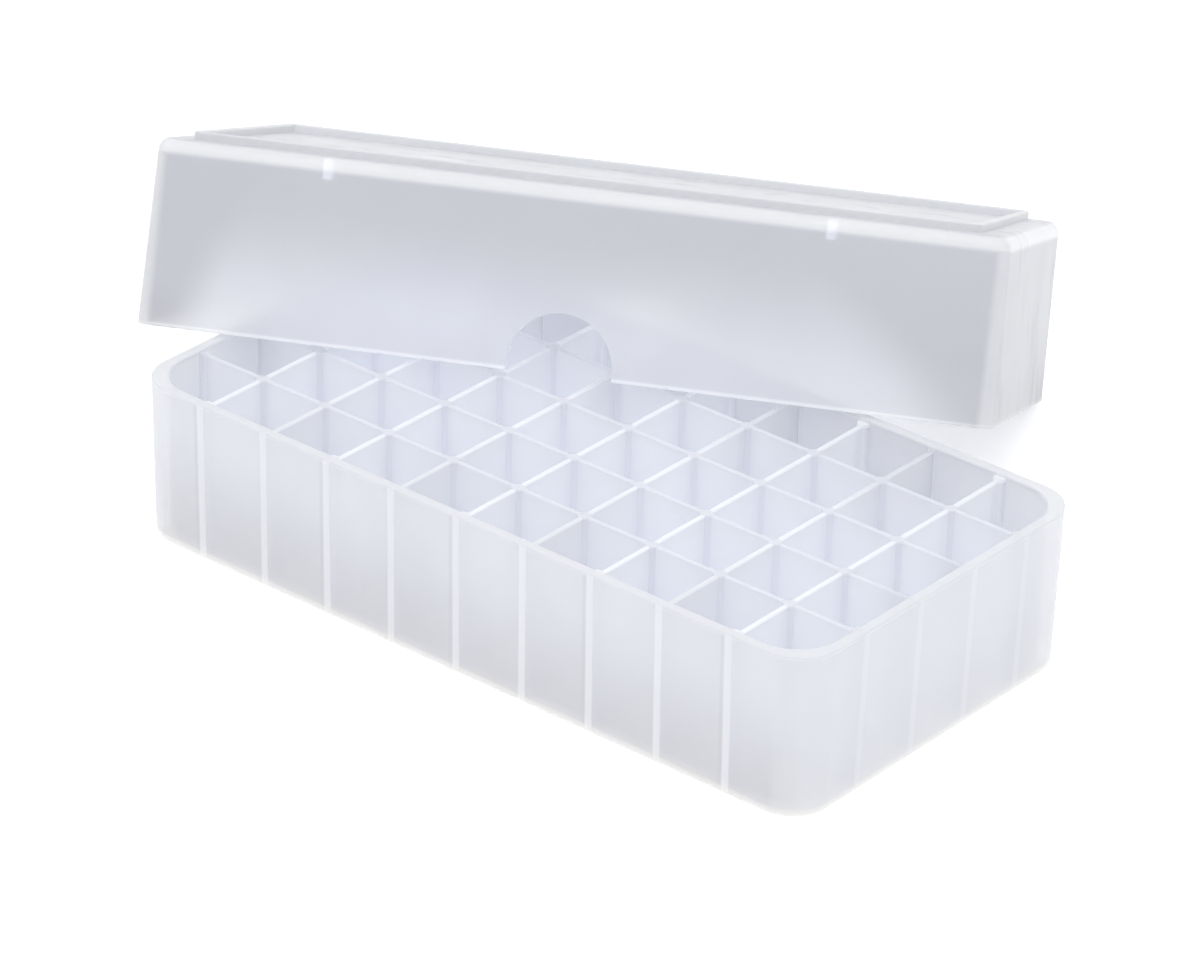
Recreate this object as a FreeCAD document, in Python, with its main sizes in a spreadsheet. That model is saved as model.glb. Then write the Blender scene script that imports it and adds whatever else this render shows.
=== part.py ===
"""A cryogenic storage box: a 50-cell base tub and the slip-over lid that leans on it.

The box is two polypropylene mouldings. The base is a tub whose inside is cut into square vial
cells by four long dividers and nine cross dividers, with a round post at every crossing and
half-round columns on the walls. The lid is a shell with thumb notches, a stacking ridge and
four stop ribs. The lid is off: its back edge stands on the table and its front edge lies
across the rim of the base, over the back left corner.

The frame's origin is the middle of the base's underside, with +X along the long side and +Z up.
Each moulding is cut into its own simple features, which meet face to face.
"""
import FreeCAD, Part

import math
import os
import re

import Sketcher
from FreeCAD import Placement, Rotation, Vector

CELL_COLUMNS = 10
CELL_ROWS = 5
COLUMN_EVERY = 2  # the long walls have a half-round column at every second cross divider
SHORT_WALL_COLUMN_ROWS = (1, CELL_ROWS - 1)  # the long dividers that meet one on the short walls
POSITIVE_TOLERANCE = 1e-6
EDGE_TOLERANCE = 0.01

DRIVING_SIZES = {
    # alias: (value in mm or degrees, what it is)
    "cell_pitch": (13.6, "distance between the middles of two cells, for 12.5 mm vials"),
    "divider_wall": (1.0, "thickness of every divider"),
    "divider_drop": (0.8, "how far the dividers stay below the rim"),
    "post_radius": (1.15, "radius of the posts and of the wall columns"),
    "rim_wall": (1.9, "thickness of the tub's wall at the rim"),
    "base_height": (28.8, "underside to rim"),
    "base_draft": (1.3, "degrees that the tub's outside leans out"),
    "base_corner": (7.5, "outer corner radius of the tub"),
    "cell_corner": (8.0, "inner corner radius of the tub"),
    "base_edge": (1.4, "rounding of the tub's bottom edge"),
    "rim_edge": (0.35, "rounding of the rim"),
    "floor_wall": (1.6, "thickness of the tub's floor"),
    "lid_wall": (1.2, "thickness of the lid"),
    "lid_gap": (0.75, "gap between the rim and the lid's opening, on each side"),
    "lid_height": (31.0, "lid's opening to its top face"),
    "lid_draft": (0.9, "degrees that the lid's sides lean in"),
    "lid_corner": (3.0, "outer corner radius of the lid"),
    "lid_edge": (2.1, "rounding of the lid's top edge"),
    "lip_edge": (0.3, "rounding of the lid's lip"),
    "notch_width": (17.8, "width of the thumb notches"),
    "notch_depth": (10.2, "depth of the thumb notches"),
    "ridge_rise": (1.4, "height of the stacking ridge"),
    "ridge_wall": (1.3, "thickness of the stacking ridge"),
    "ridge_corner": (1.8, "outer corner radius of the stacking ridge"),
    "ridge_edge": (0.35, "rounding of the stacking ridge's top"),
    "ridge_end_inset": (5.2, "lid's end to the stacking ridge"),
    "ridge_side_inset": (3.0, "lid's side to the stacking ridge"),
    "stop_width": (1.7, "width of the stop ribs inside the lid"),
    "stop_drop": (2.6, "how far the stop ribs reach below the lid's ceiling"),
    "stop_depth": (1.5, "how far the stop ribs stand in from the lid's side"),
    "stop_end_inset": (29.0, "lid's end to the middle of a stop rib"),
    "lean_turn": (27.5, "degrees that the leaning lid is turned about the vertical"),
    "lean_gap": (0.3, "clearance under the lid's front edge where it crosses the rim"),
    "lean_past_corner": (46.1, "plan distance from the lid's front edge back to the base's corner"),
    "lean_along": (34.1, "plan distance along the lid from its middle to the base's corner"),
}

# Lengths that follow from the driving sizes, as text that expressions and size() both use.
INNER_LENGTH = f"({CELL_COLUMNS} * cell_pitch - divider_wall)"
INNER_WIDTH = f"({CELL_ROWS} * cell_pitch - divider_wall)"
BASE_LENGTH = f"({INNER_LENGTH} + 2 * rim_wall)"
BASE_WIDTH = f"({INNER_WIDTH} + 2 * rim_wall)"
DIVIDER_HEIGHT = "(base_height - divider_drop - floor_wall)"
LID_LENGTH = f"({BASE_LENGTH} + 2 * lid_gap + 2 * lid_wall)"
LID_WIDTH = f"({BASE_WIDTH} + 2 * lid_gap + 2 * lid_wall)"
TUB_LEAN = "(base_height * tan(base_draft * 1deg))"
LID_LEAN = "(lid_height * tan(lid_draft * 1deg))"

doc = FreeCAD.newDocument("CryoBox")
sheet = doc.addObject("Spreadsheet::Sheet", "Sizes")


def fill_sheet():
    """Writes each driving size into the sheet, with its meaning beside it."""
    for row, (alias, (value, meaning)) in enumerate(DRIVING_SIZES.items(), start=1):
        sheet.set(f"A{row}", meaning)
        sheet.set(f"B{row}", str(value))
        sheet.setAlias(f"B{row}", alias)
    doc.recompute()


def linked(text):
    """The text with each alias in it turned into a reference to the sheet's cell."""
    def reference(word):
        return f"Sizes.{word[0]}" if word[0] in DRIVING_SIZES else word[0]
    return re.sub(r"[a-z_]+", reference, text)


def bind(thing, **sizes):
    """Binds properties of thing to the sheet. Underscores in a property stand for dots."""
    for name, text in sizes.items():
        thing.setExpression(name.replace("__", "."), linked(str(text)))


def size(text):
    """The number that an expression in the driving sizes comes to."""
    value = sheet.evalExpression(linked(text))
    return float(getattr(value, "Value", value))


def edges_where(feature, test):
    """Names of the feature's edges whose bounding box passes the test."""
    edges = feature.Shape.Edges
    return [f"Edge{n}" for n, edge in enumerate(edges, start=1) if test(edge.BoundBox)]


def lies_at(height):
    """A test for edges that lie level at a height."""
    return lambda box: max(abs(box.ZMin - height), abs(box.ZMax - height)) < EDGE_TOLERANCE


def origin_plane(body, role):
    return next(plane for plane in body.Origin.OriginFeatures if plane.Role == role)


def new_sketch(body, name, role="XY_Plane", height=None):
    """A sketch on one of the body's own origin planes, raised by height along its normal."""
    sketch = body.newObject("Sketcher::SketchObject", name)
    sketch.AttachmentSupport = (origin_plane(body, role), "")
    sketch.MapMode = "FlatFace"
    if height:
        bind(sketch, AttachmentOffset__Base__z=height)
    return sketch


def draw_rounded_rectangle(sketch, length, width, radius):
    """A rectangle with round corners about the sketch's origin, bound to its three sizes.

    Sides and corners follow each other anticlockwise from the front side, so the even
    elements are the sides and the odd ones the corner arcs.
    """
    half_length, half_width, corner = 60, 30, 5  # only where the drawing starts from
    for turn in range(4):
        direction = Rotation(Vector(0, 0, 1), 90 * turn)
        reach, offset = (half_length, half_width) if turn % 2 == 0 else (half_width, half_length)
        start = direction.multVec(Vector(corner - reach, -offset, 0))
        end = direction.multVec(Vector(reach - corner, -offset, 0))
        centre = direction.multVec(Vector(reach - corner, corner - offset, 0))
        circle = Part.Circle(centre, Vector(0, 0, 1), corner)
        quarter = math.pi / 2
        sketch.addGeometry(Part.LineSegment(start, end), False)
        sketch.addGeometry(Part.ArcOfCircle(circle, quarter * (turn - 1), quarter * turn), False)
    for element in range(8):
        sketch.addConstraint(Sketcher.Constraint("Tangent", element, 2, (element + 1) % 8, 1))
    for side, direction in ((0, "Horizontal"), (2, "Vertical"), (4, "Horizontal"), (6, "Vertical")):
        sketch.addConstraint(Sketcher.Constraint(direction, side))
    for arc in (3, 5, 7):
        sketch.addConstraint(Sketcher.Constraint("Equal", 1, arc))
    sketch.addConstraint(Sketcher.Constraint("Symmetric", 1, 3, 5, 3, -1, 1))
    add_named(sketch, "Radius", Sketcher.Constraint("Radius", 1, corner))
    add_named(sketch, "Length", Sketcher.Constraint("DistanceX", 6, 1, 2, 1, 2 * half_length))
    add_named(sketch, "Width", Sketcher.Constraint("DistanceY", 0, 1, 4, 1, 2 * half_width))
    bind(sketch, Constraints__Radius=radius, Constraints__Length=length, Constraints__Width=width)


def draw_strip(sketch, length, width):
    """A plain rectangle about the sketch's origin, bound to its two sizes."""
    corners = [Vector(x, y, 0) for x, y in ((-60, -1), (60, -1), (60, 1), (-60, 1))]
    for start, end in zip(corners, corners[1:] + corners[:1]):
        sketch.addGeometry(Part.LineSegment(start, end), False)
    for side in range(4):
        sketch.addConstraint(Sketcher.Constraint("Coincident", side, 2, (side + 1) % 4, 1))
    for side, direction in ((0, "Horizontal"), (1, "Vertical"), (2, "Horizontal"), (3, "Vertical")):
        sketch.addConstraint(Sketcher.Constraint(direction, side))
    sketch.addConstraint(Sketcher.Constraint("Symmetric", 0, 1, 2, 1, -1, 1))
    add_named(sketch, "Length", Sketcher.Constraint("Distance", 0, 120))
    add_named(sketch, "Width", Sketcher.Constraint("Distance", 1, 2))
    bind(sketch, Constraints__Length=length, Constraints__Width=width)


def add_named(sketch, name, constraint):
    """Adds a constraint that an expression can find by its name."""
    sketch.addConstraint(constraint)
    sketch.renameConstraint(sketch.ConstraintCount - 1, name)


def pad(body, sketch, length, draft=None):
    """Pads a sketch upward by a length. A positive draft leans the sides out."""
    feature = body.newObject("PartDesign::Pad", sketch.Name + "Pad")
    feature.Profile = sketch
    bind(feature, Length=length)
    if draft:
        bind(feature, TaperAngle=draft)
    sketch.Visibility = False
    doc.recompute()
    return feature


def pocket(body, sketch, length, draft=None):
    """Pockets a sketch upward by a length and checks that it took something away."""
    before = body.Tip.Shape.Volume
    feature = body.newObject("PartDesign::Pocket", sketch.Name + "Pocket")
    feature.Profile = sketch
    feature.Reversed = True
    bind(feature, Length=length)
    if draft:
        bind(feature, TaperAngle=draft)
    sketch.Visibility = False
    doc.recompute()
    if feature.Shape.Volume > before - POSITIVE_TOLERANCE:
        raise RuntimeError(f"{feature.Name} cut nothing")
    return feature


def fillet(body, name, edges, radius):
    """Rounds the named edges of the body's last feature."""
    feature = body.newObject("PartDesign::Fillet", name)
    feature.Base = (body.Tip if body.Tip != feature else feature.BaseFeature, edges)
    bind(feature, Radius=radius)
    doc.recompute()
    return feature


def make_tub():
    """The tub: a padded block that leans out, hollowed from its floor to its rim."""
    body = doc.addObject("PartDesign::Body", "Tub")
    outline = new_sketch(body, "TubOutline")
    foot_length, foot_width = f"{BASE_LENGTH} - 2 * {TUB_LEAN}", f"{BASE_WIDTH} - 2 * {TUB_LEAN}"
    draw_rounded_rectangle(outline, foot_length, foot_width, f"base_corner - {TUB_LEAN}")
    pad(body, outline, "base_height", "base_draft")

    hollow = new_sketch(body, "TubHollow", height="floor_wall")
    draw_rounded_rectangle(hollow, INNER_LENGTH, INNER_WIDTH, "cell_corner")
    cut = pocket(body, hollow, "base_height - floor_wall")

    lower = fillet(body, "TubLowerEdge", edges_where(cut, lies_at(0)), "base_edge")
    fillet(body, "TubRim", edges_where(lower, lies_at(size("base_height"))), "rim_edge")
    body.Label = "base_tub"
    return body


def make_wall_column(name, x, y, turn):
    """A half-round column on an inner wall, from the floor to the rim. Its flat side is the wall."""
    column = doc.addObject("Part::Cylinder", name)
    bind(column, Radius="post_radius", Height="base_height - rim_edge - floor_wall", Angle=180)
    column.Placement.Rotation = Rotation(Vector(0, 0, 1), turn)
    bind(column, Placement__Base__x=x, Placement__Base__y=y, Placement__Base__z="floor_wall")
    return column


def make_group(name, label, members):
    """One piece's node that holds several separate solids."""
    group = doc.addObject("Part::Compound", name)
    group.Links = members
    group.Label = label
    return group


def cross_place(number):
    """Where a cross divider stands along X, as an expression."""
    return f"({number} - {CELL_COLUMNS} / 2) * cell_pitch"


def long_place(number):
    """Where a long divider stands along Y, as an expression."""
    return f"({number} - {CELL_ROWS} / 2) * cell_pitch"


def make_wall_columns():
    """The half-round columns: one group on the long walls and one on the short walls."""
    long_side, short_side = [], []
    for number in range(1, CELL_COLUMNS, COLUMN_EVERY):
        for side, y, turn in (("Front", f"-{INNER_WIDTH} / 2", 0), ("Back", f"{INNER_WIDTH} / 2", 180)):
            long_side.append(make_wall_column(f"Column{side}{number}", cross_place(number), y, turn))
    for number in SHORT_WALL_COLUMN_ROWS:
        for side, x, turn in (("Left", f"-{INNER_LENGTH} / 2", -90), ("Right", f"{INNER_LENGTH} / 2", 90)):
            short_side.append(make_wall_column(f"Column{side}{number}", x, long_place(number), turn))
    return (
        make_group("LongWallColumns", "long_wall_columns", long_side),
        make_group("ShortWallColumns", "short_wall_columns", short_side),
    )


def make_cell_posts():
    """The round posts, one where each cross divider meets each long divider."""
    posts = []
    for row in range(1, CELL_ROWS):
        for number in range(1, CELL_COLUMNS):
            post = doc.addObject("Part::Cylinder", f"Post{row}x{number}")
            bind(post, Radius="post_radius", Height=DIVIDER_HEIGHT, Placement__Base__z="floor_wall")
            bind(post, Placement__Base__x=cross_place(number), Placement__Base__y=long_place(row))
            posts.append(post)
    return make_group("CellPosts", "cell_posts", posts)


def make_divider(name, label, length, width, middle, neighbours):
    """A divider: a plate about a plan point, cut into webs by the pieces that it runs between."""
    plate = doc.addObject("Part::Box", f"{name}Plate")
    bind(plate, Length=length, Width=width, Height=DIVIDER_HEIGHT)
    x, y = middle
    bind(
        plate,
        Placement__Base__x=f"{x} - {length} / 2",
        Placement__Base__y=f"{y} - {width} / 2",
        Placement__Base__z="floor_wall",
    )
    divider = doc.addObject("Part::Cut", name)
    divider.Base = plate
    divider.Tool = neighbours
    divider.Label = label
    return divider


def make_long_dividers(neighbours):
    """The dividers along the tub: one web in each column of cells, between the posts."""
    return [
        make_divider(
            f"LongDivider{number}",
            f"long_divider_{number}",
            INNER_LENGTH,
            "divider_wall",
            ("0", long_place(number)),
            neighbours,
        )
        for number in range(1, CELL_ROWS)
    ]


def make_cross_dividers(neighbours):
    """The dividers across the tub: one web in each row of cells, between the posts."""
    return [
        make_divider(
            f"CrossDivider{number}",
            f"cross_divider_{number}",
            "divider_wall",
            INNER_WIDTH,
            (cross_place(number), "0"),
            neighbours,
        )
        for number in range(1, CELL_COLUMNS)
    ]


def make_lid_shell():
    """The lid's shell: a block that leans in, hollowed from its opening, with two thumb notches."""
    body = doc.addObject("PartDesign::Body", "LidShell")
    outline = new_sketch(body, "LidOutline")
    draw_rounded_rectangle(outline, LID_LENGTH, LID_WIDTH, "lid_corner")
    block = pad(body, outline, "lid_height", "-lid_draft")
    fillet(body, "LidTopEdge", edges_where(block, lies_at(size("lid_height"))), "lid_edge")

    hollow = new_sketch(body, "LidHollow")
    inner_length, inner_width = f"{LID_LENGTH} - 2 * lid_wall", f"{LID_WIDTH} - 2 * lid_wall"
    draw_rounded_rectangle(hollow, inner_length, inner_width, "lid_corner - lid_wall")
    cut = pocket(body, hollow, "lid_height - lid_wall", "-lid_draft")
    ceiling = edges_where(cut, lies_at(size("lid_height - lid_wall")))
    inside = fillet(body, "LidCeilingEdge", ceiling, "lid_edge - lid_wall")
    fillet(body, "LidLip", edges_where(inside, lies_at(0)), "lip_edge")
    cut_thumb_notches(body)
    return body


def cut_thumb_notches(body):
    """Cuts one arch-topped notch through both long sides of the lid, at the middle of each."""
    arch = new_sketch(body, "NotchArch", "XZ_Plane")
    left, right = Vector(-5, 4, 0), Vector(5, 4, 0)
    foot_left, foot_right = Vector(-5, -2, 0), Vector(5, -2, 0)
    arch.addGeometry(Part.LineSegment(foot_left, foot_right), False)
    arch.addGeometry(Part.LineSegment(foot_right, right), False)
    arch.addGeometry(Part.Arc(right, Vector(0, 9, 0), left), False)
    arch.addGeometry(Part.LineSegment(left, foot_left), False)
    for first, second, end in ((0, 1, 1), (3, 0, 1)):
        arch.addConstraint(Sketcher.Constraint("Coincident", first, 2, second, end))
    arch.addConstraint(Sketcher.Constraint("Tangent", 1, 2, 2, 1))
    arch.addConstraint(Sketcher.Constraint("Tangent", 2, 2, 3, 1))
    arch.addConstraint(Sketcher.Constraint("Vertical", 1))
    arch.addConstraint(Sketcher.Constraint("Vertical", 3))
    arch.addConstraint(Sketcher.Constraint("Symmetric", 0, 1, 0, 2, -2))
    add_named(arch, "Below", Sketcher.Constraint("DistanceY", 0, 1, -1, 1, 2))
    add_named(arch, "Width", Sketcher.Constraint("Distance", 0, 10))
    add_named(arch, "Rise", Sketcher.Constraint("DistanceY", -1, 1, 2, 3, 4))
    bind(
        arch,
        Constraints__Below="lid_wall",
        Constraints__Width="notch_width",
        Constraints__Rise="notch_depth - notch_width / 2",
    )
    before = body.Tip.Shape.Volume
    notches = body.newObject("PartDesign::Pocket", "Notches")
    notches.Profile = arch
    notches.Type = "ThroughAll"
    notches.Midplane = True
    arch.Visibility = False
    doc.recompute()
    if notches.Shape.Volume > before - POSITIVE_TOLERANCE:
        raise RuntimeError("the thumb notches cut nothing")


def make_stacking_ridge():
    """The closed ridge on the lid's top that locates the next box in a stack."""
    body = doc.addObject("PartDesign::Body", "StackingRidge")
    length = f"({LID_LENGTH} - 2 * {LID_LEAN} - 2 * ridge_end_inset)"
    width = f"({LID_WIDTH} - 2 * {LID_LEAN} - 2 * ridge_side_inset)"
    outline = new_sketch(body, "RidgeOutline", height="lid_height")
    draw_rounded_rectangle(outline, length, width, "ridge_corner")
    pad(body, outline, "ridge_rise")
    inside = new_sketch(body, "RidgeInside", height="lid_height")
    inner_length, inner_width = f"{length} - 2 * ridge_wall", f"{width} - 2 * ridge_wall"
    draw_rounded_rectangle(inside, inner_length, inner_width, "ridge_corner - ridge_wall")
    ring = pocket(body, inside, "ridge_rise")
    top = edges_where(ring, lies_at(size("lid_height + ridge_rise")))
    fillet(body, "RidgeTopEdge", top, "ridge_edge")
    return body


def make_stop_ribs(shell):
    """Four ribs under the lid's ceiling that stop the closed lid on the rim of the base.

    Each blank starts halfway through the lid's wall, and the shell is cut away from it.
    """
    ribs = []
    reach = "(stop_depth + lid_wall / 2)"
    for end, x_side in (("Left", -1), ("Right", 1)):
        for side, y_side in (("Front", -1), ("Back", 1)):
            rib = doc.addObject("Part::Box", f"StopBlank{side}{end}")
            bind(rib, Length="stop_width", Width=reach, Height="stop_drop")
            middle = f"{x_side} * ({LID_LENGTH} / 2 - {LID_LEAN} - stop_end_inset)"
            wall = f"{y_side} * ({LID_WIDTH} / 2 - {LID_LEAN} - lid_wall / 2)"
            bind(
                rib,
                Placement__Base__x=f"{middle} - stop_width / 2",
                Placement__Base__y=f"{wall} - {(1 + y_side) // 2} * {reach}",
                Placement__Base__z="lid_height - lid_wall - stop_drop",
            )
            ribs.append(rib)
    blanks = doc.addObject("Part::Compound", "StopBlanks")
    blanks.Links = ribs
    stops = doc.addObject("Part::Cut", "StopRibs")
    stops.Base = blanks
    stops.Tool = shell
    return stops


def leaning_placement():
    """Where the lid's opening stands when its back edge is down and its front edge is on the rim."""
    lean = lean_angle()
    turned = Rotation(Vector(0, 0, 1), size("lean_turn"))
    half_depth = size(f"{LID_WIDTH} / 2")
    corner = Vector(-size(f"{BASE_LENGTH} / 2"), size(f"{BASE_WIDTH} / 2"), 0)
    front_edge_back = size("lean_past_corner") - half_depth * math.cos(lean)
    middle = corner + turned.multVec(Vector(size("lean_along"), -front_edge_back, 0))
    middle.z = half_depth * math.sin(lean)
    return Placement(middle, turned * Rotation(Vector(1, 0, 0), -math.degrees(lean)))


def lean_angle():
    """The lid's tilt: its front lip's inner edge clears the rim while its back edge is at zero."""
    reach = size(f"{LID_WIDTH} - lid_wall")
    return math.asin(size("base_height + lean_gap") / reach)


def lean(piece, label):
    """A lid piece as it leans on the base. The upright one stays where it was modelled."""
    leaning = make_group(f"Leaning{piece.Name}", label, [piece])
    leaning.Placement = leaning_placement()
    return leaning


def check(pieces):
    """Stops if any object failed to compute or any piece has no valid solid."""
    for thing in doc.Objects:
        if {"Invalid", "Error"} & set(thing.State):
            raise RuntimeError(f"{thing.Label} failed: {thing.State}")
    for piece in pieces:
        shape = piece.Shape
        if shape.isNull() or not shape.isValid() or shape.Volume < POSITIVE_TOLERANCE:
            raise RuntimeError(f"{piece.Label} has no valid shape")
        print(f"{piece.Label}: {len(shape.Solids)} solid(s), {shape.Volume / 1000:.3f} cm3")


def write(pieces):
    os.makedirs("parts", exist_ok=True)
    for piece in pieces:
        piece.Shape.exportStep(f"parts/{piece.Label}.step")


def main():
    fill_sheet()
    tub = make_tub()
    columns = make_wall_columns()
    posts = make_cell_posts()
    uprights = make_group("Uprights", "uprights", [*columns, posts])
    long_dividers = make_long_dividers(uprights)
    cross_dividers = make_cross_dividers(uprights)

    shell = make_lid_shell()
    ridge = make_stacking_ridge()
    stops = make_stop_ribs(shell)
    lid_pieces = [lean(shell, "lid_shell"), lean(ridge, "stacking_ridge"), lean(stops, "lid_stop_ribs")]
    doc.recompute()

    pieces = [tub, *columns, posts, *long_dividers, *cross_dividers, *lid_pieces]
    check(pieces)
    write(pieces)


main()
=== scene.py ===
"""A storage box for small vials in milky polypropylene, with its lid leaning on the base.

The tub and the lid keep the shapes of the frame's nodes. The dividers, posts and wall columns are
made again as smooth moulded walls with rounded tops. The rest is the plastic, the camera, the
floor and the light. Everything is in metres.

The plastic's inner light isn't simulated. Small glows and tints that depend on the place stand
in for it: in the cells, where the inside shows through the walls, and low on the lid's front.
Other tints are painted highlights, reflections and shade: on the dividers' tops and posts, on
the lid's edges and lip, on the stop ribs and along the tub's foot.
"""
import math

import bpy
import numpy as np
from mathutils import Matrix, Vector


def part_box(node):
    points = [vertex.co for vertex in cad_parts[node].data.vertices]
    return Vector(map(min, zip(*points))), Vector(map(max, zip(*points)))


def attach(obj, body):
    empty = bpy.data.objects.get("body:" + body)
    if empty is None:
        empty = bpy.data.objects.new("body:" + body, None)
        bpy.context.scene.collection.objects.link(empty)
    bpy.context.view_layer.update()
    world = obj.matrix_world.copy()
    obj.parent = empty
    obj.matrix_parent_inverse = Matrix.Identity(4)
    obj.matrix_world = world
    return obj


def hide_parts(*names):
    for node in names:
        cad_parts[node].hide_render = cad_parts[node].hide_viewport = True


MM = 0.001

# The camera: a long lens at the front right corner, rolled a little about its own axis.
CAMERA_AZIMUTH = math.radians(38.9)
CAMERA_ELEVATION = math.radians(28.9)
CAMERA_ROLL = math.radians(1.78)
CAMERA_DISTANCE = 0.9646
AIM_ABOVE_MIDDLE = 7.3 * MM
LENS = 180
SENSOR = 36

# The light: how bright it is at the horizon and overhead, and how much the floor adds.
HORIZON_LIGHT = 0.3
ZENITH_LIGHT = 1.3
FLOOR_GLOW = 0.25
FLOOR_HALF_WIDTH = 3.0

# The moulded dividers.
TOP_ROUNDING = 0.3 * MM
FOOT_FLARE = 0.08 * MM
SINK = 0.1 * MM  # how far they reach into the floor and the walls that they join
TOP_STEP = 0.03 * MM  # cross dividers stay this much below the long ones
BLEND_POWER = 5  # how sharply a wall turns into a post; higher is sharper
ARC_STEPS = 4
POST_STEPS = 19

# Tints of the plastic. A pair is for its darker and its lighter clouds.
DIVIDER_TINT = ((0.76, 0.77, 0.80), (0.78, 0.79, 0.82))
TUB_TINT = ((0.80, 0.815, 0.855), (0.82, 0.832, 0.872))
LID_TINT = ((0.80, 0.81, 0.85), (0.815, 0.825, 0.865))
RIDGE_TINT = ((0.84, 0.85, 0.885), (0.86, 0.87, 0.90))
# The single tints below paint light and shade on the plastic. The rim's tint is the exception: it is
# even.
POST_SHADE_TINT = (0.76, 0.765, 0.815)
PAINTED_LIGHT_TINT = (0.97, 0.975, 0.985)
RIM_TINT = (0.82, 0.83, 0.865)
LONG_TOP_REFLECTION_TINT = (0.70, 0.71, 0.76)
CROSS_TOP_HIGHLIGHT_TINT = (0.88, 0.885, 0.91)
PAINTED_SHADE_TINT = (0.60, 0.595, 0.62)
FOOT_LIGHT_TINT = (0.93, 0.915, 0.90)

# Glows that stand in for light inside the plastic, as emission strengths.
GLOW_TINT = (0.90, 0.925, 1.0)
INSIDE_GLOW = 0.18
TUB_GLOW = 0.03
STOP_GLOW = 0.22
BAND_GLOW = 0.05
COVERED_GLOW = 0.05  # added under the resting lid
COVERED_DEPTH = 30 * MM  # how far in from the lid's front that takes to build up
BLOOM_GLOW = 0.13  # added to the lid beside the resting base
BLOOM_START, BLOOM_END = 2 * MM, 24 * MM
POST_DIMMING = 0.25

# How solid each plastic is, from 0 to 1, and its surface.
TUB_ALPHA = 0.55
DIVIDER_ALPHA = 0.5
LID_ALPHA = 0.8
RIDGE_ALPHA = 0.75
STOP_ALPHA = 0.9
CLOUD_ALPHA = 0.05  # how much more solid the lighter clouds are
LID_TRANSMISSION = 0.5
ROUGHNESS = 0.3
LID_ROUGHNESS = 0.32
RUB_ROUGHNESS = 0.12  # added where the surface is rubbed
GRAIN_STRENGTH = 0.12
GRAIN_DEPTH = 0.02 * MM
PLASTIC_IOR = 1.49

# How strongly each part of the painted light and shade on the tub's wall and on the lid shows.
BAY_STRENGTH = 0.5
COLUMN_SHADE_STRENGTH = 0.35
JOINT_STRENGTH = 0.45
JOINT_ALPHA = 0.12
SHORT_JOINT = 0.2  # a joint on a short wall, as a share of one on a long wall
SHORT_BAY_LOSS = 0.7
CORNER_BAY = 0.4
DEEP_STRENGTH = 0.25
CORNER_STRENGTH = 0.6
TOP_FACE_BAND = 0.2

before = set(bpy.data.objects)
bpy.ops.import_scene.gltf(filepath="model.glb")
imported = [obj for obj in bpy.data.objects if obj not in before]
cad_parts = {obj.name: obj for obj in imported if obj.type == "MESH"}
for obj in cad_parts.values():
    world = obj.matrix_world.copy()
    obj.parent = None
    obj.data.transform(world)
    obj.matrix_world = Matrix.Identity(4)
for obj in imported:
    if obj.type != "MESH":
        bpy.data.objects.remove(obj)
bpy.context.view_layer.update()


# ---------------------------------------------------------------- places from the frame


def numbered(prefix):
    """The frame's nodes whose names start with a prefix, in order."""
    return sorted(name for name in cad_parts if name.startswith(prefix))


def middle_of(name):
    low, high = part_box(name)
    return (low + high) / 2


def extent(name, axis):
    low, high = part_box(name)
    return high[axis] - low[axis]


CROSS = numbered("cross_divider")
LONG = numbered("long_divider")
cross_places = np.array([middle_of(name).x for name in CROSS])
long_places = np.array([middle_of(name).y for name in LONG])
pitch = cross_places[1] - cross_places[0]
divider_wall = extent(CROSS[0], 0)
post_radius = (extent("cell_posts", 0) - np.ptp(cross_places)) / 2
inner_length = max(extent(name, 0) for name in LONG)
inner_width = max(extent(name, 1) for name in CROSS)
divider_foot, divider_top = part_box(CROSS[0])[0].z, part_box(CROSS[0])[1].z
column_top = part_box("long_wall_columns")[1].z
tub_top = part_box("base_tub")[1].z


def lid_frame():
    """The leaning lid's own frame: its axes as matrix rows, and its lowest and highest corner there.

    The sum over the faces of area times normal times normal has the lid's axes as its
    eigenvectors. The ends have the least area, then the long sides, then the top.
    """
    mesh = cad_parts["lid_shell"].data
    areas = np.empty(len(mesh.polygons))
    normals = np.empty(3 * len(mesh.polygons))
    places = np.empty(3 * len(mesh.vertices))
    mesh.polygons.foreach_get("area", areas)
    mesh.polygons.foreach_get("normal", normals)
    mesh.vertices.foreach_get("co", places)
    normals = normals.reshape(-1, 3)
    spread = np.einsum("n,ni,nj->ij", areas, normals, normals)
    along, across, _ = np.linalg.eigh(spread)[1].T
    along = along * np.sign(along[0])
    across = across * np.sign(across[1])
    axes = np.array([along, across, np.cross(along, across)])
    inside = places.reshape(-1, 3) @ axes.T
    return axes, inside.min(axis=0), inside.max(axis=0)


# ---------------------------------------------------------------- moulded dividers


def run_stations(ends, swells):
    """Stations along a run: its two ends, and a dense set around each post or column."""
    spread = 1.4 * post_radius * np.sin(np.linspace(-np.pi / 2, np.pi / 2, POST_STEPS))
    around = (np.asarray(swells, float)[:, None] + spread[None, :]).ravel()
    around = around[(around > ends[0]) & (around < ends[1])]
    return np.unique(np.concatenate([ends, around]))


def half_widths(stations, swells):
    """Half the thickness along a run: a thin wall that swells to a round at each post.

    The two are blended as the root of the sum of their powers, which fillets where they meet.
    """
    away = stations[:, None] - np.asarray(swells, float)[None, :]
    rounds = np.sqrt(np.clip(post_radius**2 - away**2, 0, None)).max(axis=1, initial=0)
    return ((divider_wall / 2) ** BLEND_POWER + rounds**BLEND_POWER) ** (1 / BLEND_POWER)


def tops(stations, columns):
    """The height along a run: the dividers' own, rising beside a wall column to the column's."""
    if not len(columns):
        return np.full(len(stations), divider_top)
    away = np.abs(stations[:, None] - np.asarray(columns)[None, :]).min(axis=1)
    near = np.clip((post_radius - away) / (0.25 * post_radius), 0, 1)
    return divider_top + (column_top - divider_top) * near * near * (3 - 2 * near)


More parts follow.
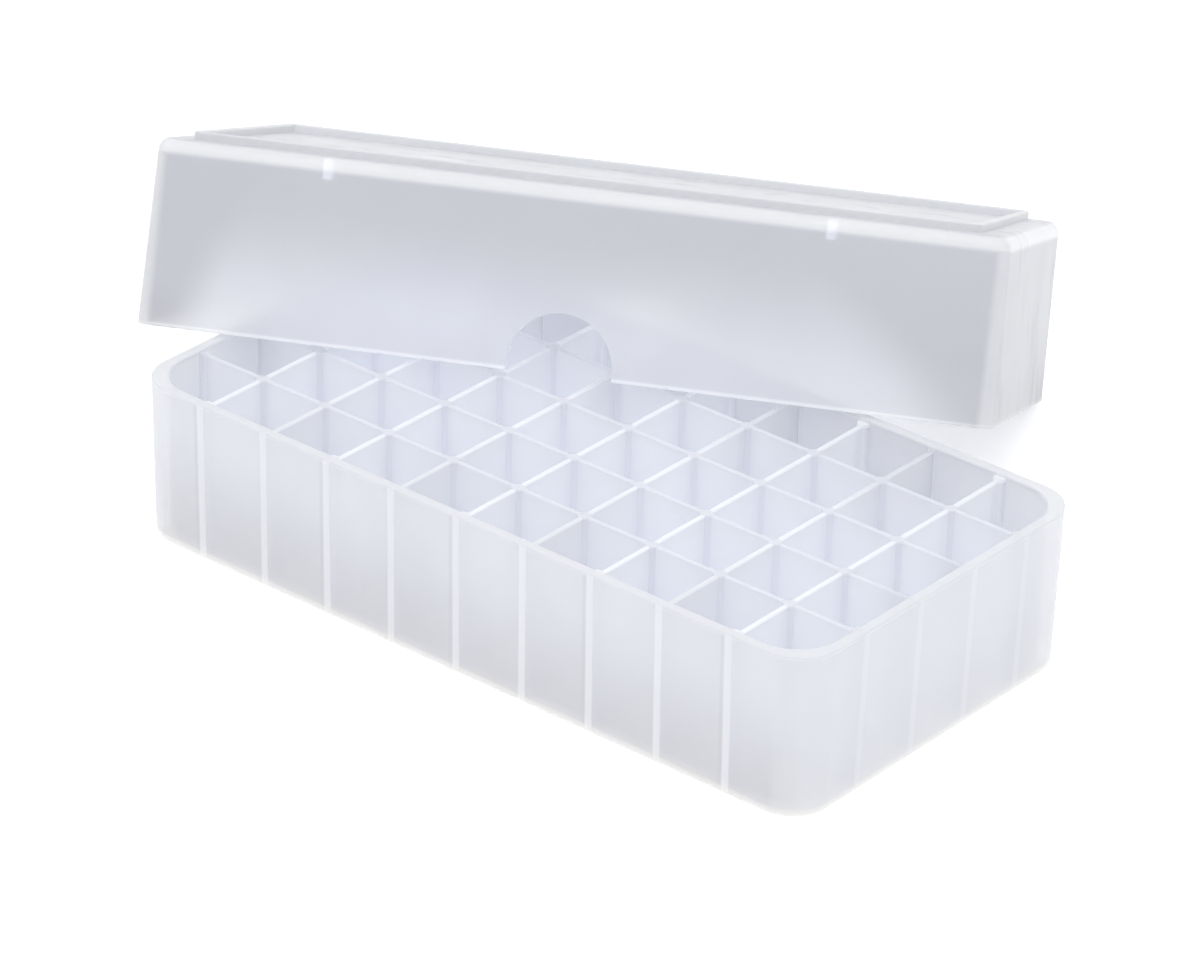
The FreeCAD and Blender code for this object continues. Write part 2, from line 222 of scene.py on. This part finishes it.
def carried_section(stations, half_width, top, foot):
    """Points of the section at every station, as an array of stations by section points by 2.

    From the right foot over the top to the left foot. A point of the rounded top is the flank,
    drawn in by the rounding, plus the rounding times the cosine and sine of its angle.
    """
    quarter = np.linspace(0, np.pi / 2, ARC_STEPS + 1)
    angle = np.concatenate([quarter, quarter + np.pi / 2])
    side = np.sign(np.cos(angle) + 1e-9 * np.repeat([1, -1], ARC_STEPS + 1))
    across = side * (half_width[:, None] - TOP_ROUNDING) + TOP_ROUNDING * np.cos(angle)
    height = top[:, None] - TOP_ROUNDING + TOP_ROUNDING * np.sin(angle)
    flank = half_width + FOOT_FLARE
    rise = np.array([0.0, 0.1 * (divider_top - foot)])
    feet = np.broadcast_to(foot + rise, (len(stations), 2))
    right = np.stack([flank, flank], axis=1)
    across = np.concatenate([right, across, -right], axis=1)
    height = np.concatenate([feet, height, feet[:, ::-1]], axis=1)
    return np.stack([across, height], axis=2)


def closed_run(count, around):
    """Faces of a run of closed sections: four-sided ones along it and one cap at each end."""
    start = np.arange(count - 1)[:, None] * around
    here = start + np.arange(around)
    beside = start + (np.arange(around) + 1) % around
    sides = np.stack([here, here + around, beside + around, beside], axis=2).reshape(-1, 4)
    first_cap = list(range(around))
    last_cap = [(count - 1) * around + point for point in reversed(first_cap)]
    return [*sides.tolist(), first_cap, last_cap]


def make_divider(name, ends, swells, columns, place, along_x, lower):
    """One divider with its posts and columns, as a section carried along a straight run."""
    stations = run_stations(ends, [*swells, *columns])
    width = half_widths(stations, [*swells, *columns])
    top = tops(stations, columns) - lower
    section = carried_section(stations, width, top, divider_foot - SINK)
    count, around = section.shape[:2]
    run = np.broadcast_to(stations[:, None], (count, around))
    across, height = section[:, :, 0], section[:, :, 1]
    axes = (run, place - across, height) if along_x else (place + across, run, height)
    vertices = np.stack(axes, axis=2).reshape(-1, 3)
    mesh = bpy.data.meshes.new(name)
    mesh.from_pydata(vertices.tolist(), [], closed_run(count, around))
    mesh.polygons.foreach_set("use_smooth", np.ones(len(mesh.polygons), bool))
    mesh.update()
    divider = bpy.data.objects.new(name, mesh)
    bpy.context.scene.collection.objects.link(divider)
    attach(divider, "base")
    return divider


def has_columns(node, axis, full):
    """True if the frame's divider stops short of the wall, at a half-round column."""
    return extent(node, axis) < full - divider_wall


def make_long_dividers(material):
    """The dividers along the tub, which carry the posts."""
    wall = inner_length / 2
    for number, (node, place) in enumerate(zip(LONG, long_places), start=1):
        columns = [-wall, wall] if has_columns(node, 0, inner_length) else []
        ends = [-wall - SINK, wall + SINK]
        divider = make_divider(f"long_wall_{number}", ends, cross_places, columns, place, True, 0)
        divider.data.materials.append(material)
        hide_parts(node, "cell_posts", "short_wall_columns")


def make_cross_dividers(material):
    """The dividers across the tub, which run through the posts from wall to wall."""
    wall = inner_width / 2
    for number, (node, place) in enumerate(zip(CROSS, cross_places), start=1):
        columns = [-wall, wall] if has_columns(node, 1, inner_width) else []
        ends = [-wall - SINK, wall + SINK]
        divider = make_divider(f"cross_wall_{number}", ends, [], columns, place, False, TOP_STEP)
        divider.data.materials.append(material)
        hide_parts(node, "long_wall_columns")


# ---------------------------------------------------------------- shader helpers


def new_group(name, inputs, outputs):
    """A shader node group with named value inputs and outputs."""
    tree = bpy.data.node_groups.new(name, "ShaderNodeTree")
    for label, default in inputs:
        socket = tree.interface.new_socket(label, in_out="INPUT", socket_type="NodeSocketFloat")
        socket.default_value = default
    for label in outputs:
        tree.interface.new_socket(label, in_out="OUTPUT", socket_type="NodeSocketFloat")
    return tree, tree.nodes.new("NodeGroupInput"), tree.nodes.new("NodeGroupOutput")


def put(tree, kind, **settings):
    """A new node of a kind, with its settings."""
    node = tree.nodes.new(f"ShaderNode{kind}")
    for name, value in settings.items():
        setattr(node, name, value)
    return node


def connect(tree, source, socket):
    """Joins a source socket to an input, or sets the input where the source is a plain value."""
    if isinstance(source, bpy.types.NodeSocket):
        tree.links.new(source, socket)
    else:
        socket.default_value = source


def calculate(tree, operation, *values, clamp=False):
    node = put(tree, "Math", operation=operation, use_clamp=clamp)
    for value, socket in zip(values, node.inputs):
        connect(tree, value, socket)
    return node.outputs[0]


def ramp(tree, value, start, end, low=0.0, high=1.0):
    """Goes smoothly from low to high as the value goes from start to end."""
    node = put(tree, "MapRange", interpolation_type="SMOOTHSTEP")
    for source, socket in zip((value, start, end, low, high), node.inputs):
        connect(tree, source, socket)
    return node.outputs["Result"]


def tint(tree, share, first, second):
    """A blend from a first colour to a second one by a share."""
    node = put(tree, "Mix", data_type="RGBA")
    connect(tree, share, node.inputs["Factor"])
    for colour, socket in ((first, node.inputs[6]), (second, node.inputs[7])):
        connect(tree, (*colour, 1) if isinstance(colour, tuple) else colour, socket)
    return node.outputs[2]


def split(tree, vector):
    node = put(tree, "SeparateXYZ")
    tree.links.new(vector, node.inputs[0])
    return node.outputs["X"], node.outputs["Y"], node.outputs["Z"]


def own_place(tree):
    """Coordinates of the piece itself, so that a pattern rides with it."""
    return put(tree, "TexCoord").outputs["Object"]


def noise(tree, scale, detail, stretch=(1, 1, 1)):
    """A noise pattern. Scale is in waves a metre."""
    mapping = put(tree, "Mapping")
    mapping.inputs["Scale"].default_value = stretch
    tree.links.new(own_place(tree), mapping.inputs["Vector"])
    pattern = put(tree, "TexNoise")
    tree.links.new(mapping.outputs["Vector"], pattern.inputs["Vector"])
    connect(tree, scale, pattern.inputs["Scale"])
    pattern.inputs["Detail"].default_value = detail
    return pattern.outputs["Fac"]


def use_group(tree, group, **values):
    """Places a node group with its own values. Underscores in a name stand for spaces."""
    node = tree.nodes.new("ShaderNodeGroup")
    node.node_tree = group
    for name, value in values.items():
        connect(tree, value, node.inputs[name.replace("_", " ")])
    return node.outputs


def in_lid_frame(tree):
    """The place in the resting lid's own frame, from the middle of its opening upward."""
    axes, lowest, highest = lid_frame()
    middle = (lowest + highest) / 2
    own = put(tree, "Mapping")
    own.inputs["Rotation"].default_value = Matrix(axes.tolist()).to_euler()
    own.inputs["Location"].default_value = (-middle[0], -middle[1], -lowest[2])
    tree.links.new(own_place(tree), own.inputs["Vector"])
    return split(tree, own.outputs["Vector"])


# ---------------------------------------------------------------- shared effects


def make_mould_texture():
    """Cloudiness, fine grain and handling rub of moulded plastic, as values from 0 to 1."""
    tree, given, result = new_group(
        "mould_texture",
        [("Cloud Scale", 30.0), ("Grain Scale", 2200.0), ("Rub Scale", 150.0)],
        ["Cloud", "Grain", "Rub"],
    )
    cloud = noise(tree, given.outputs["Cloud Scale"], 2)
    grain = noise(tree, given.outputs["Grain Scale"], 1)
    rub = noise(tree, given.outputs["Rub Scale"], 5, stretch=(1, 1, 0.35))
    tree.links.new(ramp(tree, cloud, 0.3, 0.7), result.inputs["Cloud"])
    tree.links.new(grain, result.inputs["Grain"])
    tree.links.new(ramp(tree, rub, 0.5, 0.72), result.inputs["Rub"])
    return tree


def make_wall_shade():
    """Painted light and shade of the inside seen through the tub's wall: pale joints, and bays that
    darken downward.

    A joint is where a divider meets the wall. Its distance is the sideways distance to the
    nearest divider's plane, counted along X on the long walls and along Y on the short ones.
    Foot is the edge of the floor.
    """
    tree, given, result = new_group(
        "wall_shade",
        [("Joint Width", 1.0 * MM), ("Softness", 0.35 * MM)],
        ["Joint", "Column Shade", "Bay", "Foot"],
    )
    x, y, z = split(tree, own_place(tree))
    facing_x, facing_y, _ = split(tree, put(tree, "NewGeometry").outputs["Normal"])
    long_wall = ramp(tree, calculate(tree, "ABSOLUTE", facing_y), 0.6, 0.8)
    short_wall = ramp(tree, calculate(tree, "ABSOLUTE", facing_x), 0.6, 0.8)
    in_columns = ramp(tree, calculate(tree, "ABSOLUTE", x), 4.6 * pitch, 4.7 * pitch, 1.0, 0.0)
    in_rows = ramp(tree, calculate(tree, "ABSOLUTE", y), 2.1 * pitch, 2.2 * pitch, 1.0, 0.0)

    half = calculate(tree, "MULTIPLY", given.outputs["Joint Width"], 0.5)
    outer = calculate(tree, "ADD", half, given.outputs["Softness"])
    from_cross = calculate(tree, "PINGPONG", x, pitch / 2)
    from_long = calculate(tree, "PINGPONG", calculate(tree, "ADD", y, pitch / 2), pitch / 2)
    on_cross = calculate(tree, "MULTIPLY", ramp(tree, from_cross, half, outer, 1.0, 0.0), in_columns)
    on_long = calculate(tree, "MULTIPLY", ramp(tree, from_long, half, outer, 1.0, 0.0), in_rows)
    joint_long = calculate(tree, "MULTIPLY", on_cross, long_wall)
    joint_short = calculate(tree, "MULTIPLY", on_long, short_wall)
    joint_short = calculate(tree, "MULTIPLY", joint_short, SHORT_JOINT)
    joint = calculate(tree, "MAXIMUM", joint_long, joint_short)

    # A thin line of painted shade beside each column, at every second cross divider.
    turned = calculate(tree, "MULTIPLY", calculate(tree, "SIGN", facing_y), -post_radius)
    from_column = calculate(tree, "PINGPONG", calculate(tree, "ADD", x, turned), pitch)
    column_shade = ramp(tree, from_column, 0.15 * MM, 0.45 * MM, 1.0, 0.0)
    column_shade = calculate(tree, "MULTIPLY", calculate(tree, "MULTIPLY", column_shade, in_columns), long_wall)

    # Masks for painted light along the foot and painted shade in the bays. The shade deepens downward
    # and is weaker on the short walls and near the corners.
    foot = ramp(tree, z, 1.2 * MM, 2.0 * MM, 1.0, 0.0)
    depth = ramp(tree, z, 2.0 * MM, 24.0 * MM, 1.0, 0.0)
    by_wall = calculate(tree, "MULTIPLY_ADD", short_wall, -SHORT_BAY_LOSS, 1.0)
    by_corner = calculate(tree, "MULTIPLY_ADD", in_columns, 1 - CORNER_BAY, CORNER_BAY)
    bay = calculate(tree, "MULTIPLY", depth, calculate(tree, "MULTIPLY", by_wall, by_corner))
    bay = calculate(tree, "MULTIPLY", bay, calculate(tree, "SUBTRACT", 1.0, joint))
    bay = calculate(tree, "MULTIPLY", bay, calculate(tree, "SUBTRACT", 1.0, foot))
    for value, label in ((joint, "Joint"), (column_shade, "Column Shade"), (bay, "Bay"), (foot, "Foot")):
        tree.links.new(value, result.inputs[label])
    return tree


def make_lid_shade():
    """Where the lid is painted lighter or darker: painted highlights on the top edge and corners,
    painted light along the lip, and painted shade low on the front.

    Everything is measured in the lid's own frame, from the middle of its opening upward.
    """
    _, lowest, highest = lid_frame()
    length, width, height = highest - lowest
    tree, given, result = new_group(
        "lid_shade",
        [("Top Band", 3.0 * MM), ("Corner Width", 1.5 * MM)],
        ["Band", "Lip", "Deep"],
    )
    x, y, up = in_lid_frame(tree)
    band_start = calculate(tree, "SUBTRACT", height, given.outputs["Top Band"])
    band = ramp(tree, up, band_start, calculate(tree, "ADD", band_start, 1.0 * MM))
    top_face = ramp(tree, up, height - 0.5 * MM, height, 1.0, TOP_FACE_BAND)
    band = calculate(tree, "MULTIPLY", band, top_face)
    corner = CORNER_STRENGTH
    for place, full in ((x, length), (y, width)):
        start = calculate(tree, "SUBTRACT", full / 2, given.outputs["Corner Width"])
        before = calculate(tree, "SUBTRACT", start, 1.5 * MM)
        near = ramp(tree, calculate(tree, "ABSOLUTE", place), before, start)
        corner = calculate(tree, "MULTIPLY", near, corner)
    tree.links.new(calculate(tree, "MAXIMUM", band, corner), result.inputs["Band"])
    tree.links.new(ramp(tree, up, 0.4 * MM, 0.8 * MM, 1.0, 0.0), result.inputs["Lip"])
    tree.links.new(ramp(tree, up, 0.8 * MM, 9.0 * MM, 1.0, 0.0), result.inputs["Deep"])
    return tree


mould_texture = make_mould_texture()
wall_shade = make_wall_shade()
lid_shade = make_lid_shade()


# ---------------------------------------------------------------- materials


def start_material(name):
    material = bpy.data.materials.new(name)
    material.use_nodes = True
    return material, material.node_tree, material.node_tree.nodes["Principled BSDF"]


def start_plastic(name, tints, alpha, roughness):
    """Milky polypropylene: cloudy colour, fine grain and rubbed patches.

    Returns the material, its shader, its cloudy colour and how solid it is.
    """
    material, tree, shader = start_material(name)
    texture = use_group(tree, mould_texture)
    colour = tint(tree, texture["Cloud"], *tints)
    solid = calculate(tree, "MULTIPLY_ADD", texture["Cloud"], CLOUD_ALPHA, alpha)
    rough = ramp(tree, texture["Rub"], 0.0, 1.0, roughness, roughness + RUB_ROUGHNESS)
    tree.links.new(rough, shader.inputs["Roughness"])
    bump = put(tree, "Bump")
    bump.inputs["Strength"].default_value = GRAIN_STRENGTH
    bump.inputs["Distance"].default_value = GRAIN_DEPTH
    tree.links.new(texture["Grain"], bump.inputs["Height"])
    tree.links.new(bump.outputs["Normal"], shader.inputs["Normal"])
    shader.inputs["IOR"].default_value = PLASTIC_IOR
    return material, shader, colour, solid


def covered_glow(tree, least):
    """A glow that grows under the resting lid. It stays with the base when the lid moves."""
    _, lowest, highest = lid_frame()
    _, across, _ = in_lid_frame(tree)
    front = (lowest[1] - highest[1]) / 2
    covered = ramp(tree, across, front, front + COVERED_DEPTH)
    return calculate(tree, "MULTIPLY_ADD", covered, COVERED_GLOW, least)


def near_base(tree):
    """1 beside the resting base and 0 far from it. It rides with the lid when the lid moves.

    The distance is that of a point from the tub's box: the length of what the point's
    coordinates go past it, with the sideways ones counted three times.
    """
    low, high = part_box("base_tub")
    total = 0.0
    weights = (3, 3, 1)
    for axis, place in enumerate(split(tree, own_place(tree))):
        middle, half = (low[axis] + high[axis]) / 2, (high[axis] - low[axis]) / 2
        off = calculate(tree, "ABSOLUTE", calculate(tree, "SUBTRACT", place, middle))
        past = calculate(tree, "MAXIMUM", calculate(tree, "SUBTRACT", off, half), 0.0)
        past = calculate(tree, "MULTIPLY", past, weights[axis])
        total = calculate(tree, "MULTIPLY_ADD", past, past, total)
    away = calculate(tree, "SQRT", total)
    return ramp(tree, away, BLOOM_START, BLOOM_END, 1.0, 0.0)


def at_post(tree):
    """1 on the posts and 0 between them, by the distance from the nearest crossing."""
    x, y, _ = split(tree, own_place(tree))
    from_cross = calculate(tree, "PINGPONG", x, pitch / 2)
    from_long = calculate(tree, "PINGPONG", calculate(tree, "ADD", y, pitch / 2), pitch / 2)
    away = calculate(tree, "MAXIMUM", from_cross, from_long)
    return ramp(tree, away, post_radius, post_radius + 0.2 * MM, 1.0, 0.0)


def make_divider_plastic(name, top_light_tint):
    """The dividers' plastic, with their rounded tops in a tint of their own: a painted highlight or a
    painted dark reflection.
    """
    material, shader, colour, solid = start_plastic(name, DIVIDER_TINT, DIVIDER_ALPHA, ROUGHNESS)
    tree = material.node_tree
    _, _, z = split(tree, own_place(tree))
    top = ramp(tree, z, divider_top - 0.35 * MM, divider_top - 0.15 * MM)
    # The posts are painted darker, as painted shade, and their glow is dimmed.
    posted = tint(tree, at_post(tree), colour, POST_SHADE_TINT)
    tree.links.new(tint(tree, top, posted, top_light_tint), shader.inputs["Base Color"])
    alpha = calculate(tree, "MULTIPLY_ADD", top, 0.1, solid, clamp=True)
    tree.links.new(alpha, shader.inputs["Alpha"])
    shader.inputs["Emission Color"].default_value = (*GLOW_TINT, 1)
    glow = covered_glow(tree, INSIDE_GLOW)
    dimming = calculate(tree, "MULTIPLY_ADD", at_post(tree), -POST_DIMMING, 1.0)
    glow = calculate(tree, "MULTIPLY", glow, dimming)
    tree.links.new(glow, shader.inputs["Emission Strength"])
    return material


def make_tub_plastic():
    """The tub's plastic, with the inside showing through it painted on: light at the joints, shade in
    the bays.
    """
    material, shader, colour, solid = start_plastic("tub_plastic", TUB_TINT, TUB_ALPHA, ROUGHNESS)
    tree = material.node_tree
    shade = use_group(tree, wall_shade)
    # Painted shade in the bays and beside the columns, and painted light at the joints.
    shaded = tint(tree, calculate(tree, "MULTIPLY", shade["Bay"], BAY_STRENGTH), colour, PAINTED_SHADE_TINT)
    column_shaded = tint(tree, calculate(tree, "MULTIPLY", shade["Column Shade"], COLUMN_SHADE_STRENGTH), shaded, PAINTED_SHADE_TINT)
    jointed = tint(tree, calculate(tree, "MULTIPLY", shade["Joint"], JOINT_STRENGTH), column_shaded, PAINTED_LIGHT_TINT)
    # Painted light along the foot: paler and warmer.
    footed = tint(tree, shade["Foot"], jointed, FOOT_LIGHT_TINT)
    _, _, z = split(tree, own_place(tree))
    rim = ramp(tree, z, tub_top - 0.7 * MM, tub_top - 0.3 * MM)
    tree.links.new(tint(tree, rim, footed, RIM_TINT), shader.inputs["Base Color"])
    thicker = calculate(tree, "MULTIPLY_ADD", shade["Joint"], JOINT_ALPHA, solid)
    alpha = calculate(tree, "MULTIPLY_ADD", rim, 0.15, thicker, clamp=True)
    tree.links.new(alpha, shader.inputs["Alpha"])
    shader.inputs["Emission Color"].default_value = (*GLOW_TINT, 1)
    tree.links.new(covered_glow(tree, TUB_GLOW), shader.inputs["Emission Strength"])
    return material


def make_lid_plastic():
    """The lid's plastic: frosted and more solid along its top edge and corners, with painted highlights
    there, painted light along its lip and painted shade low on its front.

    Beside the resting base it glows, as a stand-in for the base showing through it.
    """
    material, shader, colour, solid = start_plastic("lid_plastic", LID_TINT, LID_ALPHA, LID_ROUGHNESS)
    tree = material.node_tree
    shade = use_group(tree, lid_shade)
    # Painted shade low on the front, painted highlights on the top edge and corners, and painted light
    # along the lip.
    deeper = tint(tree, calculate(tree, "MULTIPLY", shade["Deep"], DEEP_STRENGTH), colour, PAINTED_SHADE_TINT)
    banded = tint(tree, shade["Band"], deeper, PAINTED_LIGHT_TINT)
    lipped = tint(tree, shade["Lip"], banded, PAINTED_LIGHT_TINT)
    tree.links.new(lipped, shader.inputs["Base Color"])
    alpha = calculate(tree, "MULTIPLY_ADD", shade["Band"], 0.15, solid, clamp=True)
    tree.links.new(alpha, shader.inputs["Alpha"])
    shader.inputs["Transmission Weight"].default_value = LID_TRANSMISSION
    shader.inputs["Emission Color"].default_value = (*GLOW_TINT, 1)
    bloom = calculate(tree, "MULTIPLY", near_base(tree), BLOOM_GLOW)
    glow = calculate(tree, "MULTIPLY_ADD", shade["Band"], BAND_GLOW, bloom)
    tree.links.new(glow, shader.inputs["Emission Strength"])
    return material


def make_stop_plastic():
    """The stop ribs' plastic. The ribs are thick and look whiter than the lid around them, which is
    painted on as a pale tint and a glow.
    """
    material, shader, colour, solid = start_plastic("stop_plastic", (PAINTED_LIGHT_TINT, PAINTED_LIGHT_TINT), STOP_ALPHA, ROUGHNESS)
    tree = material.node_tree
    tree.links.new(colour, shader.inputs["Base Color"])
    tree.links.new(solid, shader.inputs["Alpha"])
    shader.inputs["Emission Color"].default_value = (*GLOW_TINT, 1)
    shader.inputs["Emission Strength"].default_value = STOP_GLOW
    return material


def make_ridge_plastic():
    """The stacking ridge's plastic, which is more solid than the lid below it."""
    material, shader, colour, solid = start_plastic("ridge_plastic", RIDGE_TINT, RIDGE_ALPHA, ROUGHNESS)
    tree = material.node_tree
    tree.links.new(colour, shader.inputs["Base Color"])
    tree.links.new(solid, shader.inputs["Alpha"])
    return material


def dress(names, material):
    """Gives nodes of the frame their material."""
    for name in names:
        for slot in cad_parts[name].material_slots:
            slot.material = material


# ---------------------------------------------------------------- around the object


def make_camera():
    """The camera, on a sphere about the middle of the tub and aimed a little above it."""
    middle = middle_of("base_tub")
    back = Vector((
        math.sin(CAMERA_AZIMUTH) * math.cos(CAMERA_ELEVATION),
        -math.cos(CAMERA_AZIMUTH) * math.cos(CAMERA_ELEVATION),
        math.sin(CAMERA_ELEVATION),
    ))
    place = middle + back * CAMERA_DISTANCE
    aim = middle + Vector((0, 0, AIM_ABOVE_MIDDLE))
    turn = (aim - place).to_track_quat("-Z", "Y").to_matrix().to_4x4()
    data = bpy.data.cameras.new("camera")
    data.lens = LENS
    data.sensor_width = SENSOR
    camera = bpy.data.objects.new("camera", data)
    camera.matrix_world = Matrix.Translation(place) @ turn @ Matrix.Rotation(CAMERA_ROLL, 4, "Z")
    bpy.context.scene.collection.objects.link(camera)
    bpy.context.scene.camera = camera


def make_floor():
    """A plain white floor, wide enough to fill every view."""
    half = FLOOR_HALF_WIDTH
    corners = [(-half, -half, 0), (half, -half, 0), (half, half, 0), (-half, half, 0)]
    mesh = bpy.data.meshes.new("floor")
    mesh.from_pydata(corners, [], [(0, 1, 2, 3)])
    floor = bpy.data.objects.new("floor", mesh)
    bpy.context.scene.collection.objects.link(floor)
    material, _, shader = start_material("floor_white")
    shader.inputs["Base Color"].default_value = (0.95, 0.95, 0.95, 1)
    shader.inputs["Roughness"].default_value = 0.9
    shader.inputs["Emission Color"].default_value = (1, 1, 1, 1)
    shader.inputs["Emission Strength"].default_value = FLOOR_GLOW
    mesh.materials.append(material)


def make_light():
    """Soft white light, strongest from overhead and weakest at the horizon."""
    world = bpy.data.worlds.new("studio")
    bpy.context.scene.world = world
    world.use_nodes = True
    tree = world.node_tree
    _, _, up = split(tree, put(tree, "TexCoord").outputs["Generated"])
    light = ramp(tree, up, 0.0, 0.9, HORIZON_LIGHT, ZENITH_LIGHT)
    tree.links.new(light, tree.nodes["Background"].inputs["Strength"])
    tree.nodes["Background"].inputs["Color"].default_value = (1, 1, 1, 1)


def set_light_paths():
    """Lets light pass through and between enough thin walls, and keeps white white."""
    scene = bpy.context.scene
    scene.cycles.diffuse_bounces = 12
    scene.cycles.max_bounces = 16
    scene.cycles.transparent_max_bounces = 24
    scene.view_settings.view_transform = "Standard"


# The two divider plastics differ only in their tops' tint: a painted dark reflection on the long
# dividers and a painted highlight on the cross ones.
make_long_dividers(make_divider_plastic("long_divider_plastic", LONG_TOP_REFLECTION_TINT))
make_cross_dividers(make_divider_plastic("cross_divider_plastic", CROSS_TOP_HIGHLIGHT_TINT))
dress(["base_tub"], make_tub_plastic())
dress(["lid_shell"], make_lid_plastic())
dress(["stacking_ridge"], make_ridge_plastic())
dress(["lid_stop_ribs"], make_stop_plastic())
make_camera()
make_floor()
make_light()
set_light_paths()
